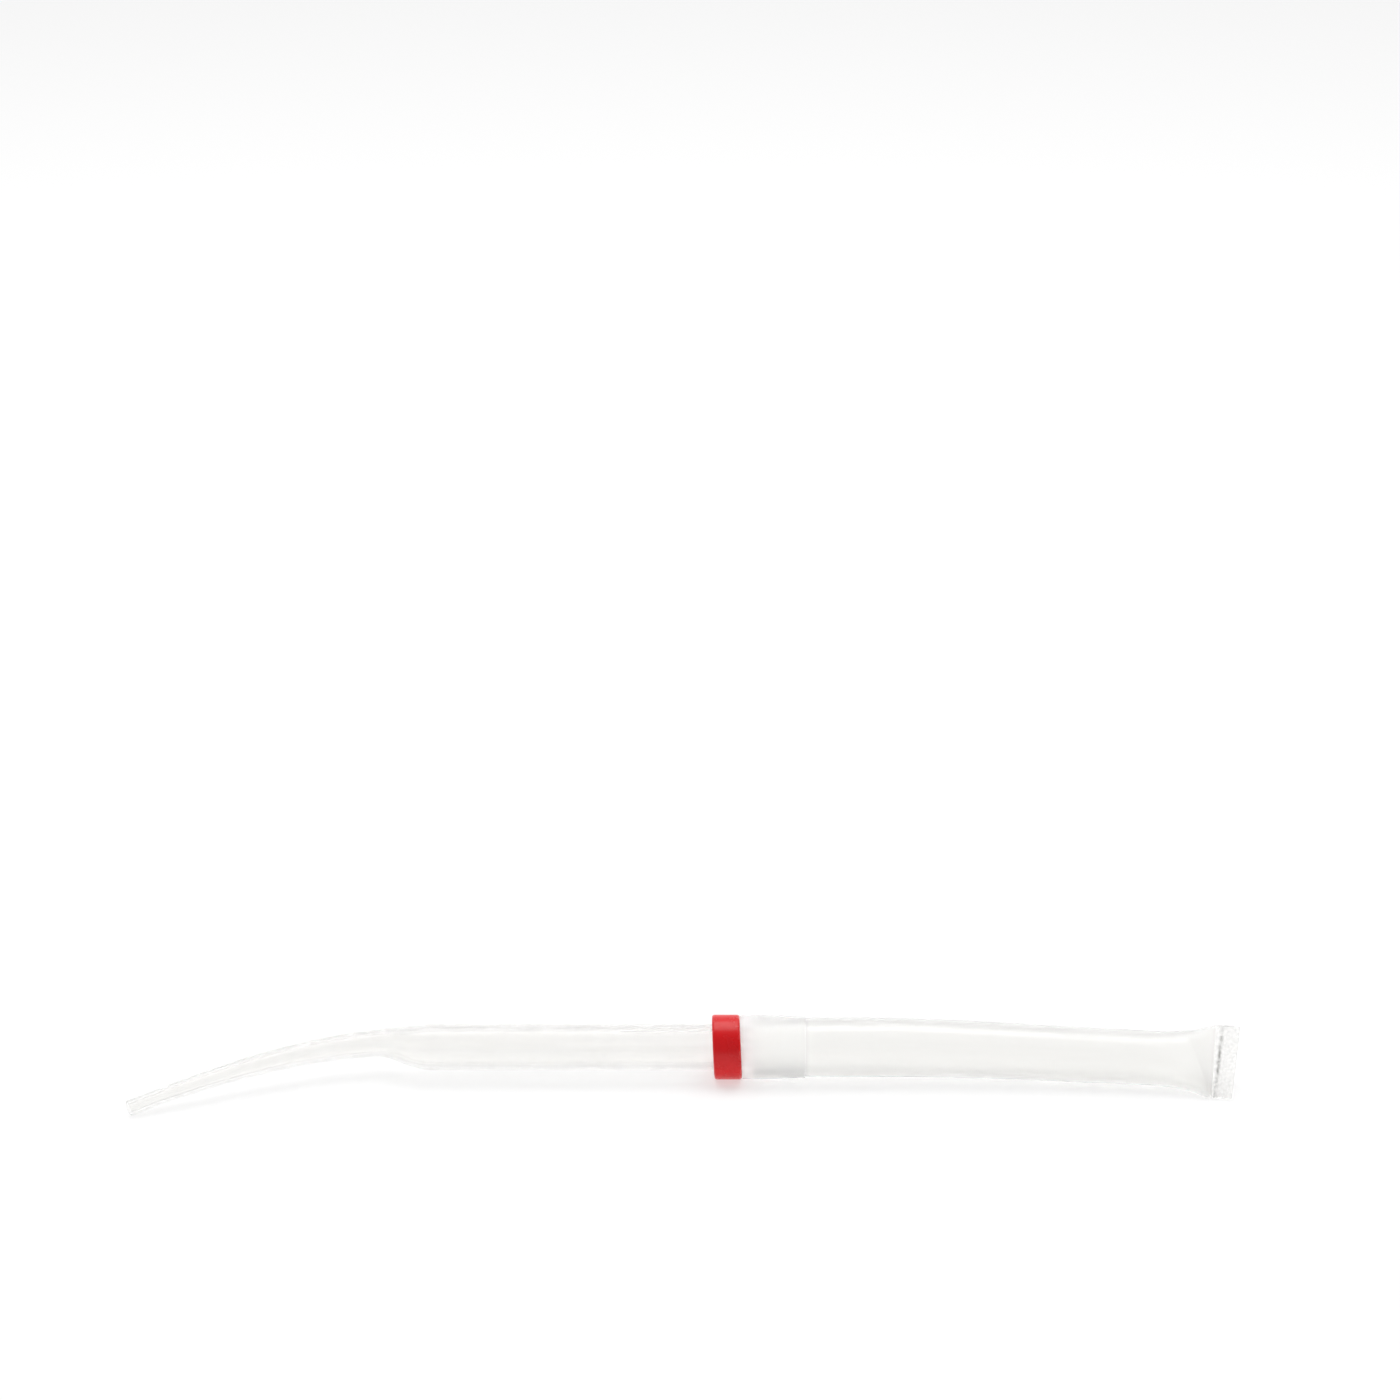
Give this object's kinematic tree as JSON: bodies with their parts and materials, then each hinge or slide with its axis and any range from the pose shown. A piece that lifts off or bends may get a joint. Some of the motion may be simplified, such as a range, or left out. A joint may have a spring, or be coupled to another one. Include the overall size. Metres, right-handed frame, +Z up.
{
  "type": "plastic dropper pipette",
  "caption": "Slender soft-plastic dropper with a drawn, bent tip, a translucent barrel, a red colour ring and a clear bulb tube heat-sealed flat at its end.",
  "frame": {"origin": "bottom centre of the whole part's box, on the surface that it lies on", "axes": "+X along the barrel from the drawn tip towards the sealed end of the bulb tube, +Y away from the side that the tip and the bulb tube bend to, +Z up"},
  "size_m": [0.1196, 0.0148, 0.007],
  "materials": {
    "stem": "translucent, satin, as moulded",
    "tube": "clear, soft, glossy, with long extrusion streaks",
    "ring": "opaque, satin, as moulded"
  },
  "bodies": {
    "root": {"dropper_stem": "stem", "bulb_tube": "tube", "colour_ring": "ring"}
  },
  "joints": []
}
